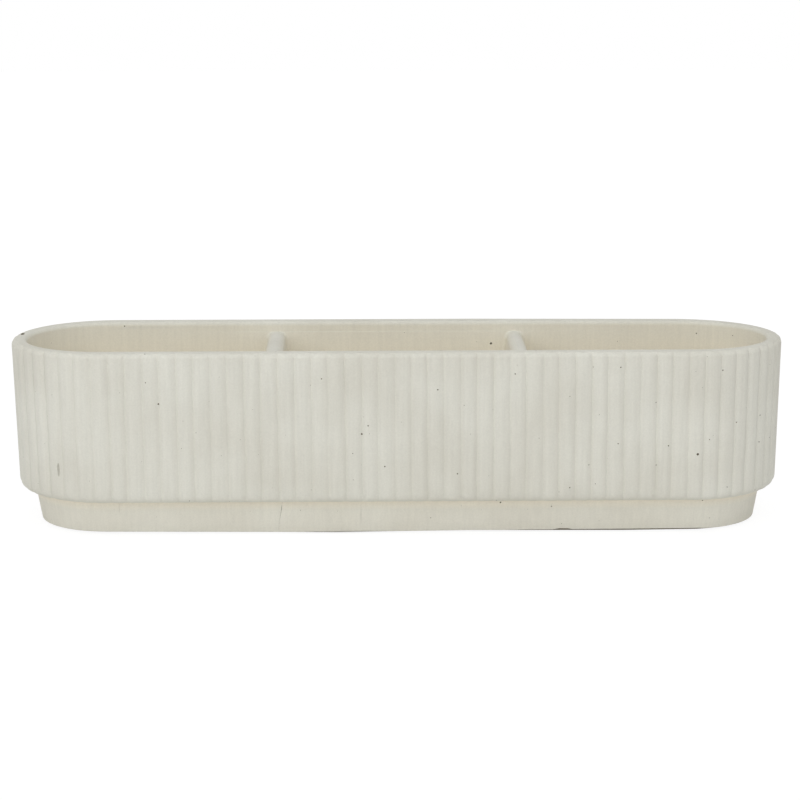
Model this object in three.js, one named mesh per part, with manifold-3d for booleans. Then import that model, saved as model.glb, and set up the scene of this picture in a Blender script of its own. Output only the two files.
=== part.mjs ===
// Concrete planter: a long, narrow trough with round ends, cast in one piece. It has upright ribs all
// round with narrow grooves between them, a plain rounded rim, a plain foot that stands back under the
// wall, and two cross walls that part it into three compartments. Each compartment drains through a hole
// that a rubber plug closes, and six foam pads in pockets under the foot keep the casting off the table.
//
// Millimetres, +Z up. X runs along the planter, the front faces -Y, and the table is at Z = 0.

import * as THREE from "three";
import { mergeVertices } from "three/addons/utils/BufferGeometryUtils.js";
import Module from "manifold-3d";

// Casting, overall, over the ribs just under the rim
const LENGTH = 500;
const DEPTH = 127.2;
const CASTING_HEIGHT = 119.3;

// Wall, outside
const WALL_DRAFT = 1.3; // degrees, the wall leans in towards the foot
const RIM_ROUNDING = 3.4;
const WALL_LOWER_ROUNDING = 5.8;

// Foot
const FOOT_HEIGHT = 22.2;
const FOOT_RECESS = 10; // how far the foot's top stands back from the wall above it
const FOOT_DRAFT = 9.5; // degrees
const FOOT_ROUNDING = 2.6;
const FOOT_COVE = 2; // hollow corner between the foot and the wall's underside

// Ribs
const RIB_PITCH = 10.46;
const RIB_DEPTH = 1.1;
const RIB_FULLNESS = 2.6; // 2 is a round crown, more is a flatter one with narrower grooves
const RIB_DRIFT = 0.029; // ribs are this share wider at the left end and narrower at the right
const FIRST_GROOVE = -3; // X of the groove nearest the middle of the front

// Wall, inside
const RIM_WIDTH = 12.2; // from the ribs to the inner wall, along the straight sides
const END_REACH = 2.4; // how much narrower the rim is at the tips of the round ends
const INNER_ROUNDING = 2.4;
const INNER_DRAFT = 2; // degrees
const FLOOR_THICKNESS = 19.3;
const FLOOR_ROUNDING = 14;

// Cross walls
const DIVIDER_OFFSET = 79.65; // from the middle of the pair to the middle of each
const DIVIDER_SHIFT = -1.65; // from the planter's middle to the middle of the pair
const DIVIDER_THICKNESS = 10.8; // where its round top begins
const DIVIDER_CROWN = 3.8; // height of its round top
const DIVIDER_DROP = 6.6; // from the rim down to the top of a cross wall
const DIVIDER_FLARE = 2; // height over which its top sweeps up into the long walls
const CORNER_ROUNDING = 2.6; // upright corners of the compartments

// Drain holes and their plugs
const DRAIN_DIAMETER = 14;
const DRAIN_CHAMFER = 1.2;
const PLUG_CLEARANCE = 0.35; // all round in the hole, and under the head
const PLUG_LIP = 5; // how far the head reaches past the hole
const PLUG_HEAD_THICKNESS = 2.6;
const PLUG_HEAD_CROWN = 0.9;
const PLUG_SHORT = 4; // how far the plug's end stays inside the hole
const PLUG_TAPER = 0.9; // on the radius, over the shank
const PLUG_WALL = 2; // of the hollow shank
const PLUG_RING_HEIGHT = 2.4; // each of the two soft rings round the shank

// Pads under the foot
const PAD_DIAMETER = 16;
const PAD_THICKNESS = 1;
const PAD_CHAMFER = 0.3;
const PAD_FILM = 0.2; // adhesive between pad and casting
const PAD_POCKET = 0.5; // depth of the pocket in the foot that each pad sits in
const PAD_POCKET_CLEARANCE = 0.4; // all round the pad
const PAD_INSET = 6; // from the foot's flat edge to the pad

// Fineness of the curves
const POINTS_PER_RIB = 5;
const ROUND_END_STEPS = 24;
const CORNER_STEPS = 4;
const LATHE_STEPS = 24;
const CUT_OVERRUN = 2; // how far a cut runs past the face that it opens

// Heights and places that follow from the sizes above
const BASE = PAD_THICKNESS + PAD_FILM - PAD_POCKET;
const TOP = BASE + CASTING_HEIGHT;
const FLOOR = BASE + FLOOR_THICKNESS;
const WALL_UNDERSIDE = BASE + FOOT_HEIGHT;
const CREST = TOP - DIVIDER_DROP;
const STRAIGHT_HALF = (LENGTH - DEPTH) / 2;
const TURN = 2 * Math.PI;

const slope = (degrees) => Math.tan(THREE.MathUtils.degToRad(degrees));

// Half the depth of the planter over the ribs, at a height on the wall.
const wallHalf = (z) => DEPTH / 2 - slope(WALL_DRAFT) * (TOP - RIM_ROUNDING - z);

// Half the depth of the foot, at a height on it.
const FOOT_TOP_HALF = wallHalf(WALL_UNDERSIDE + WALL_LOWER_ROUNDING) - FOOT_RECESS;
const footHalf = (z) => FOOT_TOP_HALF - slope(FOOT_DRAFT) * (WALL_UNDERSIDE - z);
const FOOT_FLAT_HALF = footHalf(BASE + FOOT_ROUNDING) - FOOT_ROUNDING;

// The ribs are stepped off along their grooves, half way up the wall.
const RIB_LINE_RADIUS = wallHalf((TOP + WALL_UNDERSIDE) / 2) - RIB_DEPTH;
const RIB_LINE_LENGTH = 4 * STRAIGHT_HALF + TURN * RIB_LINE_RADIUS;
const RIB_COUNT = Math.round(RIB_LINE_LENGTH / RIB_PITCH);

const wasm = await Module();
wasm.setup();

// A closed geometry as a solid that can be joined and cut.
function toSolid(geometry) {
  const bare = geometry.clone();
  bare.deleteAttribute("normal");
  bare.deleteAttribute("uv");
  const merged = mergeVertices(bare);
  return new wasm.Manifold(
    new wasm.Mesh({
      numProp: 3,
      vertProperties: new Float32Array(merged.attributes.position.array),
      triVerts: new Uint32Array(merged.index.array),
    }),
  );
}

// A solid's surface as a geometry.
function toGeometry(solid) {
  const { vertProperties, triVerts, numProp } = solid.getMesh();
  const geometry = new THREE.BufferGeometry();
  geometry.setAttribute("position", new THREE.BufferAttribute(vertProperties, numProp));
  geometry.setIndex(new THREE.BufferAttribute(triVerts, 1));
  geometry.computeVertexNormals();
  return geometry;
}

// Angles from 0 to a quarter turn, in equal steps.
function quarterTurn(steps) {
  return Array.from({ length: steps + 1 }, (_, k) => (k * Math.PI) / 2 / steps);
}

// Triangles between two level rings, both walked anticlockwise. Their points may differ in number:
// share says how far round its ring each point lies, from 0 to 1.
function bandFaces(lower, upper) {
  const faces = [];
  const shareAt = (ring, k) => (k < ring.length ? ring[k].share : ring[k - ring.length].share + 1);
  let i = 0;
  let j = 0;
  while (i < lower.length || j < upper.length) {
    const a = lower[i % lower.length];
    const b = upper[j % upper.length];
    const lowerNext = i < lower.length ? shareAt(lower, i + 1) : Infinity;
    const upperNext = j < upper.length ? shareAt(upper, j + 1) : Infinity;
    if (lowerNext <= upperNext) {
      i += 1;
      faces.push(a.index, lower[i % lower.length].index, b.index);
    } else {
      j += 1;
      faces.push(a.index, upper[j % upper.length].index, b.index);
    }
  }
  return faces;
}

// Triangles that close a level ring, facing up or down.
function endFaces(ring, facesUp) {
  const contour = ring.map((point) => new THREE.Vector2(point.x, point.y));
  return THREE.ShapeUtils.triangulateShape(contour, []).flatMap(([a, b, c]) => {
    const face = [ring[a].index, ring[b].index, ring[c].index];
    return facesUp ? face : face.reverse();
  });
}

// A closed skin over level rings, listed from the lowest up.
function skin(rings) {
  const points = rings.flat();
  points.forEach((point, index) => {
    point.index = index;
  });
  const bands = rings.slice(1).flatMap((ring, k) => bandFaces(rings[k], ring));
  const geometry = new THREE.BufferGeometry();
  const places = points.flatMap(({ x, y, z }) => [x, y, z]);
  geometry.setAttribute("position", new THREE.Float32BufferAttribute(places, 3));
  geometry.setIndex([...endFaces(rings[0], false), ...bands, ...endFaces(rings.at(-1), true)]);
  return geometry;
}

// A stretch of the rib line from the middle of the front, to the right: the point of the planter's
// middle line that it goes round, and the way out from it.
function placeAlong(distance) {
  const end = Math.PI * RIB_LINE_RADIUS;
  const s = THREE.MathUtils.euclideanModulo(distance, RIB_LINE_LENGTH);
  if (s < STRAIGHT_HALF) return { middleX: s, outX: 0, outY: -1 };
  if (s < STRAIGHT_HALF + end) {
    const turn = (s - STRAIGHT_HALF) / RIB_LINE_RADIUS;
    return { middleX: STRAIGHT_HALF, outX: Math.sin(turn), outY: -Math.cos(turn) };
  }
  if (s < 3 * STRAIGHT_HALF + end) {
    return { middleX: 2 * STRAIGHT_HALF + end - s, outX: 0, outY: 1 };
  }
  if (s < 3 * STRAIGHT_HALF + 2 * end) {
    const turn = (s - 3 * STRAIGHT_HALF - end) / RIB_LINE_RADIUS;
    return { middleX: -STRAIGHT_HALF, outX: -Math.sin(turn), outY: Math.cos(turn) };
  }
  return { middleX: s - RIB_LINE_LENGTH, outX: 0, outY: -1 };
}

// Places all round, a few to each rib, with how far up its rib's crown each one stands: 0 in a groove.
function ribPlaces(pointsPerRib) {
  return Array.from({ length: RIB_COUNT * pointsPerRib }, (_, k) => {
    const share = k / (RIB_COUNT * pointsPerRib);
    const drift = (RIB_DRIFT * (Math.cos(TURN * share) - 1)) / TURN;
    const across = (k % pointsPerRib) / pointsPerRib;
    const crown = 1 - Math.abs(2 * across - 1) ** RIB_FULLNESS;
    return { ...placeAlong(RIB_LINE_LENGTH * (share + drift) + FIRST_GROOVE), share, crown };
  });
}

// A level ring round the planter, with its grooves cut to a share of their full depth.
function outerRing(places, half, z, grooves) {
  return places.map(({ middleX, outX, outY, share, crown }) => {
    const reach = half - RIB_DEPTH * grooves * (1 - crown);
    return { x: middleX + outX * reach, y: outY * reach, z, share };
  });
}

// The casting's outside, from the flat under the foot to the top of the rim.
function outerSkin() {
  const ribbed = ribPlaces(POINTS_PER_RIB);
  const rim = ribPlaces(2);
  const plain = ribPlaces(1);
  const lowerWall = WALL_UNDERSIDE + WALL_LOWER_ROUNDING;
  const upperWall = TOP - RIM_ROUNDING;
  const diagonal = Math.SQRT1_2;
  const steep = Math.sin((Math.PI / 180) * 70);
  const flat = Math.cos((Math.PI / 180) * 70);
  return skin([
    outerRing(plain, FOOT_FLAT_HALF, BASE, 0),
    outerRing(plain, FOOT_FLAT_HALF + FOOT_ROUNDING * diagonal, BASE + FOOT_ROUNDING * (1 - diagonal), 0),
    outerRing(plain, FOOT_FLAT_HALF + FOOT_ROUNDING, BASE + FOOT_ROUNDING, 0),
    outerRing(plain, footHalf(WALL_UNDERSIDE - FOOT_COVE), WALL_UNDERSIDE - FOOT_COVE, 0),
    outerRing(plain, FOOT_TOP_HALF + FOOT_COVE, WALL_UNDERSIDE, 0),
    outerRing(ribbed, wallHalf(lowerWall) - WALL_LOWER_ROUNDING, WALL_UNDERSIDE, 0.3),
    outerRing(
      ribbed,
      wallHalf(lowerWall) - WALL_LOWER_ROUNDING * (1 - diagonal),
      lowerWall - WALL_LOWER_ROUNDING * diagonal,
      0.8,
    ),
    outerRing(ribbed, wallHalf(lowerWall), lowerWall, 1),
    outerRing(ribbed, DEPTH / 2, upperWall, 1),
    outerRing(ribbed, DEPTH / 2 - RIM_ROUNDING * (1 - diagonal), upperWall + RIM_ROUNDING * diagonal, 0.95),
    outerRing(ribbed, DEPTH / 2 - RIM_ROUNDING * (1 - flat), upperWall + RIM_ROUNDING * steep, 0.25),
    outerRing(rim, DEPTH / 2 - RIM_ROUNDING, TOP, 0),
  ]);
}

// How far a quarter round of a given radius stands back from the straight line that it runs into, at a
// depth below that line's end.
const standBack = (radius, depth) => radius - Math.sqrt(Math.max(radius ** 2 - depth ** 2, 0));

// Half the depth of the inside at a height.
function innerHalf(z) {
  const roundingStart = TOP - INNER_ROUNDING;
  const wall = DEPTH / 2 - RIM_WIDTH - slope(INNER_DRAFT) * Math.max(roundingStart - z, 0);
  const atFloor = standBack(FLOOR_ROUNDING, Math.max(FLOOR + FLOOR_ROUNDING - z, 0));
  const atRim = standBack(INNER_ROUNDING, THREE.MathUtils.clamp(z - roundingStart, 0, INNER_ROUNDING));
  return wall - atFloor + atRim;
}

// How far a compartment's flat face stands from the middle of its cross wall at a height. Past the top
// of the cross wall it runs on through the middle, so that the rounded corners sweep up and out.
function dividerFace(z) {
  const half = DIVIDER_THICKNESS / 2;
  const topStart = CREST - DIVIDER_CROWN;
  if (z <= topStart) {
    const atFloor = standBack(FLOOR_ROUNDING, Math.max(FLOOR + FLOOR_ROUNDING - z, 0));
    return half + slope(INNER_DRAFT) * (topStart - z) + atFloor;
  }
  if (z <= CREST) return half * Math.sqrt(Math.max(1 - ((z - topStart) / DIVIDER_CROWN) ** 2, 0));
  const left = 1 - Math.min((z - CREST) / DIVIDER_FLARE, 1);
  return -(CORNER_ROUNDING + 1) * Math.sqrt(1 - left ** 2);
}

// The heights at which the inside's section turns, from the floor to past the rim.
function innerLevels() {
  const levels = [
    ...quarterTurn(3).map((turn) => FLOOR + FLOOR_ROUNDING * (1 - Math.cos(turn))),
    ...quarterTurn(3).map((turn) => CREST - DIVIDER_CROWN + DIVIDER_CROWN * Math.sin(turn)),
    ...quarterTurn(3).map((turn) => CREST + DIVIDER_FLARE * (1 - Math.cos(turn))),
    ...quarterTurn(3).map((turn) => TOP - INNER_ROUNDING + INNER_ROUNDING * Math.sin(turn)),
    TOP + CUT_OVERRUN,
  ].sort((a, b) => a - b);
  return levels.filter((z, k) => k === 0 || z - levels[k - 1] > 0.05);
}

// Points on an arc about a centre, in a level plane.
function arc(x, y, radius, from, to, steps) {
  return Array.from({ length: steps + 1 }, (_, k) => {
    const turn = TURN * (from + ((to - from) * k) / steps);
    return { x: x + radius * Math.cos(turn), y: y + radius * Math.sin(turn) };
  });
}

// The outline of the middle compartment at a height.
function middleOutline(z) {
  const y = innerHalf(z) - CORNER_ROUNDING;
  const x = DIVIDER_OFFSET - dividerFace(z) - CORNER_ROUNDING;
  const right = DIVIDER_SHIFT + x;
  const left = DIVIDER_SHIFT - x;
  return [
    ...arc(right, -y, CORNER_ROUNDING, -1 / 4, 0, CORNER_STEPS),
    ...arc(right, y, CORNER_ROUNDING, 0, 1 / 4, CORNER_STEPS),
    ...arc(left, y, CORNER_ROUNDING, 1 / 4, 1 / 2, CORNER_STEPS),
    ...arc(left, -y, CORNER_ROUNDING, 1 / 2, 3 / 4, CORNER_STEPS),
  ];
}

// The outline of an end compartment at a height, drawn as if it were the right one. Its cross wall
// stands at offset.
function endOutline(z, offset) {
  const half = innerHalf(z);
  const y = half - CORNER_ROUNDING;
  const x = offset + dividerFace(z) + CORNER_ROUNDING;
  return [
    ...arc(x, -y, CORNER_ROUNDING, -1 / 2, -1 / 4, CORNER_STEPS),
    ...arc(STRAIGHT_HALF + END_REACH, 0, half, -1 / 4, 1 / 4, ROUND_END_STEPS),
    ...arc(x, y, CORNER_ROUNDING, 1 / 4, 1 / 2, CORNER_STEPS),
  ];
}

// The space of one compartment, from its floor to past the rim.
function compartment(outlineAt) {
  const rings = innerLevels().map((z) => {
    const outline = outlineAt(z);
    return outline.map((point, k) => ({ ...point, z, share: k / outline.length }));
  });
  return toSolid(skin(rings));
}

// A shape turned about the upright line at x, from a profile of radius and height, listed upwards on
// its outside.
function turned(profile, x) {
  const points = profile.map(([radius, z]) => new THREE.Vector2(radius, z));
  return new THREE.LatheGeometry(points, LATHE_STEPS).rotateX(Math.PI / 2).translate(x, 0, 0);
}

// The drain holes' places: near the middle of each compartment, and the same way out at both ends.
const END_DRAIN_X = (DIVIDER_OFFSET + DIVIDER_THICKNESS / 2 + STRAIGHT_HALF + DEPTH / 2 - RIM_WIDTH) / 2;
const DRAINS = { left: -END_DRAIN_X, middle: 0, right: END_DRAIN_X };

// The space of a drain hole, with both its edges broken.
function drainHole(x) {
  const radius = DRAIN_DIAMETER / 2;
  const mouth = radius + DRAIN_CHAMFER + CUT_OVERRUN;
  const hole = turned(
    [
      [0, BASE - CUT_OVERRUN],
      [mouth, BASE - CUT_OVERRUN],
      [radius, BASE + DRAIN_CHAMFER],
      [radius, FLOOR - DRAIN_CHAMFER],
      [mouth, FLOOR + CUT_OVERRUN],
      [0, FLOOR + CUT_OVERRUN],
    ],
    x,
  );
  return toSolid(hole);
}

// The pads' places: three along the front edge of the foot's flat and three along the back.
const PAD_Y = FOOT_FLAT_HALF - PAD_INSET - PAD_DIAMETER / 2;
const PAD_ROWS = { front: -PAD_Y, back: PAD_Y };
const PAD_COLUMNS = { left: -STRAIGHT_HALF, middle: 0, right: STRAIGHT_HALF };
const PADS = Object.entries(PAD_ROWS).flatMap(([row, y]) =>
  Object.entries(PAD_COLUMNS).map(([column, x]) => ({ name: `${row}_${column}_pad`, x, y })),
);

// The space of the shallow pocket in the foot's flat that a pad sits in.
function padPocket(x, y) {
  const radius = PAD_DIAMETER / 2 + PAD_POCKET_CLEARANCE;
  const pocket = turned(
    [
      [0, BASE - CUT_OVERRUN],
      [radius, BASE - CUT_OVERRUN],
      [radius, BASE + PAD_POCKET],
      [0, BASE + PAD_POCKET],
    ],
    x,
  );
  return toSolid(pocket.translate(0, y, 0));
}

// The casting: its outside, less the three compartments, their drain holes and the pads' pockets.
function troughGeometry() {
  const right = compartment((z) => endOutline(z, DIVIDER_OFFSET + DIVIDER_SHIFT));
  const left = compartment((z) => endOutline(z, DIVIDER_OFFSET - DIVIDER_SHIFT)).mirror([1, 0, 0]);
  let casting = toSolid(outerSkin());
  const inside = compartment(middleOutline).add(right).add(left);
  casting = casting.subtract(inside);
  for (const x of Object.values(DRAINS)) {
    casting = casting.subtract(drainHole(x));
  }
  for (const { x, y } of PADS) {
    casting = casting.subtract(padPocket(x, y));
  }
  return toGeometry(casting);
}

// A rubber drain plug: a crowned head on a tapered, hollow shank with two soft rings round it.
function plugGeometry(x) {
  const seat = FLOOR + PLUG_CLEARANCE;
  const end = BASE + PLUG_SHORT;
  const shank = DRAIN_DIAMETER / 2 - PLUG_CLEARANCE;
  const head = DRAIN_DIAMETER / 2 + PLUG_LIP;
  const length = seat - end;
  const shankAt = (z) => shank - (PLUG_TAPER * (seat - z)) / length - PLUG_CLEARANCE;
  const ringAt = (share) => end + length * share;
  const ring = (z) => [
    [shankAt(z - PLUG_RING_HEIGHT / 2), z - PLUG_RING_HEIGHT / 2],
    [shankAt(z) + PLUG_CLEARANCE, z],
    [shankAt(z + PLUG_RING_HEIGHT / 2), z + PLUG_RING_HEIGHT / 2],
  ];
  return turned(
    [
      [0, seat - PLUG_WALL],
      [shankAt(end) - PLUG_WALL, seat - PLUG_WALL],
      [shankAt(end) - PLUG_WALL, end],
      [shankAt(end), end],
      ...ring(ringAt(1 / 3)),
      ...ring(ringAt(2 / 3)),
      [shankAt(seat), seat],
      [head - PLUG_HEAD_THICKNESS / 4, seat],
      [head, seat + PLUG_HEAD_THICKNESS / 4],
      [head, seat + (PLUG_HEAD_THICKNESS * 3) / 4],
      [head - PLUG_HEAD_THICKNESS / 4, seat + PLUG_HEAD_THICKNESS],
      [head / 2, seat + PLUG_HEAD_THICKNESS + PLUG_HEAD_CROWN * 0.75],
      [0, seat + PLUG_HEAD_THICKNESS + PLUG_HEAD_CROWN],
    ],
    x,
  );
}

// A round pad with a broken lower edge, standing on the table.
function padGeometry() {
  const radius = PAD_DIAMETER / 2;
  return turned(
    [
      [0, 0],
      [radius - PAD_CHAMFER, 0],
      [radius, PAD_CHAMFER],
      [radius, PAD_THICKNESS],
      [0, PAD_THICKNESS],
    ],
    0,
  );
}

const concrete = () => new THREE.MeshStandardMaterial({ color: 0xd3d2c7, roughness: 0.92, metalness: 0 });
const rubber = () => new THREE.MeshStandardMaterial({ color: 0x4b4c4a, roughness: 0.7, metalness: 0 });
const foam = () => new THREE.MeshStandardMaterial({ color: 0x8b8a84, roughness: 0.95, metalness: 0 });

function named(name, geometry, material) {
  const mesh = new THREE.Mesh(geometry, material);
  mesh.name = name;
  return mesh;
}

const planter = new THREE.Group();
planter.add(named("trough", troughGeometry(), concrete()));

const plugs = new THREE.Group();
for (const [side, x] of Object.entries(DRAINS)) {
  plugs.add(named(`${side}_drain_plug`, plugGeometry(x), rubber()));
}
planter.add(plugs);

const pads = new THREE.Group();
for (const { name, x, y } of PADS) {
  const pad = named(name, padGeometry(), foam());
  pad.position.set(x, y, 0);
  pads.add(pad);
}
planter.add(pads);

export default planter;
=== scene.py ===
"""Looks of the concrete planter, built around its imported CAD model.

A long, narrow trough with round ends, cast in one piece in off-white concrete: upright ribs all round
with narrow grooves, a plain rounded rim, a foot that stands back, and two cross walls. Three rubber plugs
close its drain holes and six foam pads stand it off the table.

Sizes are in millimetres where a name doesn't say otherwise, and turn to metres in the meshes.
X runs along the planter, the front faces -Y, and the table is at Z = 0.
"""

import logging
import math
from collections.abc import Callable, Sequence
from dataclasses import dataclass
from enum import Enum
from typing import Any

import bmesh
import bpy
import numpy as np
from bpy.types import Material, Mesh, Node, NodeSocket, NodeTree, Object, World
from mathutils import Matrix, Vector
from mathutils.bvhtree import BVHTree


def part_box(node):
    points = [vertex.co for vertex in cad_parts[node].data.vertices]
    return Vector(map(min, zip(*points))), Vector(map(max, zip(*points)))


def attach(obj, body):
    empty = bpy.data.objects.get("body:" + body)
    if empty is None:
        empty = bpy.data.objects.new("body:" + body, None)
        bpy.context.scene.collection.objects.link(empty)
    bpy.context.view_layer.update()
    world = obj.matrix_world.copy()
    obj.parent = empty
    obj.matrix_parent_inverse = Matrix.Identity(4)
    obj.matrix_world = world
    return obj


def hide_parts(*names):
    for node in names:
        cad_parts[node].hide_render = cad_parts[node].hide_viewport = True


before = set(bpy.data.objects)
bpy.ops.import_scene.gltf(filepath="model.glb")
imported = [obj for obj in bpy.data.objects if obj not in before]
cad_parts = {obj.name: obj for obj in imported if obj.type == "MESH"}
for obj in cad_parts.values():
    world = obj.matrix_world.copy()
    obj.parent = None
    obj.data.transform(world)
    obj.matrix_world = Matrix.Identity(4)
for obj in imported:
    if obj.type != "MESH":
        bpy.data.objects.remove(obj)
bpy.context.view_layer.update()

log = logging.getLogger("planter")

MM = 0.001
TURN = 2 * math.pi
OVERSHOOT = 2.0  # how far a solid that is cut out reaches past the face it cuts
SAME_LEVEL = 0.03  # levels closer together than this are one
MATH = "ShaderNodeMath"
SOCKETS = {float: "NodeSocketFloat", int: "NodeSocketInt", Material: "NodeSocketMaterial"}

Outline = list[tuple[float, float]]
Rings = Sequence[Sequence[tuple[float, float, float]]]


class Column(Enum):
    """A place along the planter, with the side that it lies on."""

    LEFT = -1
    MIDDLE = 0
    RIGHT = 1


class Row(Enum):
    """A place across the planter."""

    FRONT = -1
    BACK = 1


class Look(Enum):
    """A way to look at the casting."""

    FRONT = "from in front"
    DOWN = "from above"
    INSIDE = "from inside, towards its back wall"


class Body(Enum):
    """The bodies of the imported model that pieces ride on."""

    CASTING = "casting"
    LEFT_PLUG = "left_plug"
    MIDDLE_PLUG = "middle_plug"
    RIGHT_PLUG = "right_plug"


# Small helpers for colours, nodes and meshes


def linear(colour: str) -> tuple[float, float, float, float]:
    """Turns an sRGB hex colour into linear RGBA.

    Args:
        colour: six hex digits after a #.

    Returns:
        The colour as a shader socket takes it.
    """
    levels = [int(colour[k : k + 2], 16) / 255 for k in (1, 3, 5)]
    red, green, blue = (v / 12.92 if v <= 0.04045 else ((v + 0.055) / 1.055) ** 2.4 for v in levels)
    return red, green, blue, 1.0


def add_node(
    tree: NodeTree,
    kind: str,
    inputs: Sequence[Any] | dict[str | int, Any] = (),
    **settings: Any,
) -> Node:
    """Adds a node with its settings, its values and its links.

    Args:
        tree: the node tree that gets the node.
        kind: the node's type name.
        inputs: values by socket, or in the sockets' order, where None leaves a socket alone. A node
            stands for its first output.
        settings: the node's own properties.

    Returns:
        The new node.
    """
    node = tree.nodes.new(kind)
    for name, value in settings.items():
        setattr(node, name, value)
    pairs = inputs.items() if isinstance(inputs, dict) else enumerate(inputs)
    for key, value in pairs:
        if value is None:
            continue
        if isinstance(value, Node):
            value = value.outputs[0]
        if isinstance(value, NodeSocket):
            tree.links.new(value, node.inputs[key])
        else:
            node.inputs[key].default_value = value
    return node


def blend(tree: NodeTree, share: Any, first: Any, second: Any) -> NodeSocket:
    """Mixes two colours, each a socket or sRGB hex, by the share of the second."""
    colours = [linear(colour) if isinstance(colour, str) else colour for colour in (first, second)]
    inputs = {0: share, 6: colours[0], 7: colours[1]}
    return add_node(tree, "ShaderNodeMix", inputs, data_type="RGBA").outputs[2]


def noise(tree: NodeTree, place: Any, size: float, detail: float) -> Node:
    """Adds noise with patches of a size, in the unit of the places."""
    return add_node(tree, "ShaderNodeTexNoise", {"Vector": place, "Scale": 1 / size, "Detail": detail})


def bump(tree: NodeTree, height: Any, depth: float) -> Node:
    """Adds a bump of a depth in millimetres."""
    return add_node(tree, "ShaderNodeBump", {"Strength": 1.0, "Distance": depth * MM, "Height": height})


def empty_tree(owner: Material | World) -> NodeTree:
    """Gives a material or a world an empty node tree."""
    owner.use_nodes = True
    owner.node_tree.nodes.clear()
    return owner.node_tree


def start_material(name: str) -> tuple[Material, NodeTree, Node]:
    """Starts a material.

    Args:
        name: its name.

    Returns:
        The material, its tree, and a node with the place on the piece in millimetres.
    """
    made = bpy.data.materials.new(name)
    tree = empty_tree(made)
    place = add_node(tree, "ShaderNodeTexCoord").outputs["Object"]
    in_mm = add_node(tree, "ShaderNodeVectorMath", [place, (1 / MM, 1 / MM, 1 / MM)], operation="MULTIPLY")
    return made, tree, in_mm


def end_material(tree: NodeTree, sockets: dict[str, Any]) -> None:
    """Ends a material's tree in one shader with the given sockets."""
    shader = add_node(tree, "ShaderNodeBsdfPrincipled", sockets)
    add_node(tree, "ShaderNodeOutputMaterial", [shader])


def geometry_tree(name: str, values: dict[str, Any]) -> tuple[NodeTree, dict[str, Any]]:
    """Starts a Geometry Nodes tree with a geometry input and named inputs.

    Args:
        name: the tree's name.
        values: what each named input will get, which gives its type.

    Returns:
        The tree, and its input sockets by name.
    """
    tree = bpy.data.node_groups.new(name, "GeometryNodeTree")
    tree.interface.new_socket("Geometry", in_out="INPUT", socket_type="NodeSocketGeometry")
    for label, value in values.items():
        tree.interface.new_socket(label, in_out="INPUT", socket_type=SOCKETS[type(value)])
    tree.interface.new_socket("Geometry", in_out="OUTPUT", socket_type="NodeSocketGeometry")
    start = add_node(tree, "NodeGroupInput")
    return tree, {socket.name: socket for socket in start.outputs if socket.name}


def end_tree(tree: NodeTree, geometry: Node, material: Any) -> None:
    """Ends a Geometry Nodes tree in Realize Instances and Set Material.

    Args:
        tree: the tree to end.
        geometry: the node that has the finished geometry.
        material: the socket with its material.
    """
    realized = add_node(tree, "GeometryNodeRealizeInstances", [geometry])
    dressed = add_node(tree, "GeometryNodeSetMaterial", {"Geometry": realized, "Material": material})
    add_node(tree, "NodeGroupOutput", [dressed])


def evaluated(name: str, source: Mesh, tree: NodeTree, values: dict[str, Any]) -> Object:
    """Runs a Geometry Nodes tree on a mesh and keeps the result as a plain mesh.

    Args:
        name: the new object's name.
        source: the mesh that goes in.
        tree: the tree to run.
        values: the value of each named input.

    Returns:
        The new object, with no modifier.
    """
    carrier = bpy.data.objects.new(name + "_carrier", source)
    bpy.context.scene.collection.objects.link(carrier)
    modifier = carrier.modifiers.new("nodes", "NODES")
    modifier.node_group = tree
    for item in tree.interface.items_tree:
        if item.in_out == "INPUT" and item.name in values:
            modifier[item.identifier] = values[item.name]
    return flattened(name, carrier)


def flattened(name: str, carrier: Object) -> Object:
    """Turns an object with live modifiers into a plain mesh object and removes the first.

    Args:
        name: the new object's name.
        carrier: the object with the modifiers.

    Returns:
        The plain object, linked to the scene.
    """
    graph = bpy.context.evaluated_depsgraph_get()
    graph.update()
    mesh = bpy.data.meshes.new_from_object(carrier.evaluated_get(graph), depsgraph=graph)
    bpy.data.objects.remove(carrier)
    return linked(name, mesh)


def linked(name: str, mesh: Mesh) -> Object:
    """Puts a mesh in the scene as an object of its name, at the origin."""
    mesh.name = name
    piece = bpy.data.objects.new(name, mesh)
    bpy.context.scene.collection.objects.link(piece)
    return piece


def repair(mesh: Mesh, fill: bool = False) -> None:
    """Merges doubled corners, closes open rims where asked, and turns the faces outwards.

    Args:
        mesh: the mesh to change.
        fill: closes each open rim with one face.
    """
    work = bmesh.new()
    work.from_mesh(mesh)
    bmesh.ops.remove_doubles(work, verts=work.verts, dist=1e-6)
    if fill:
        rims = [edge for edge in work.edges if edge.is_boundary]
        bmesh.ops.holes_fill(work, edges=rims, sides=0)
    bmesh.ops.recalc_face_normals(work, faces=work.faces)
    work.to_mesh(mesh)
    work.free()
    mesh.update()


def loft(name: str, rings: Rings) -> Mesh:
    """Makes a closed skin over rings of equal length.

    Args:
        name: the mesh's name.
        rings: rings of points in millimetres, from one end of the shape to the other.

    Returns:
        The mesh in metres, closed at both ends and with its faces turned outwards.
    """
    count = len(rings[0])
    points = [[v * MM for v in point] for ring in rings for point in ring]
    faces: list[list[int]] = []
    for start in range(0, len(points) - count, count):
        for i in range(count):
            j = (i + 1) % count
            faces.append([start + i, start + j, start + count + j, start + count + i])
    faces += [list(range(count)), [len(points) - count + i for i in range(count)]]
    mesh = bpy.data.meshes.new(name)
    mesh.from_pydata(points, [], faces)
    repair(mesh)
    return mesh


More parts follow.
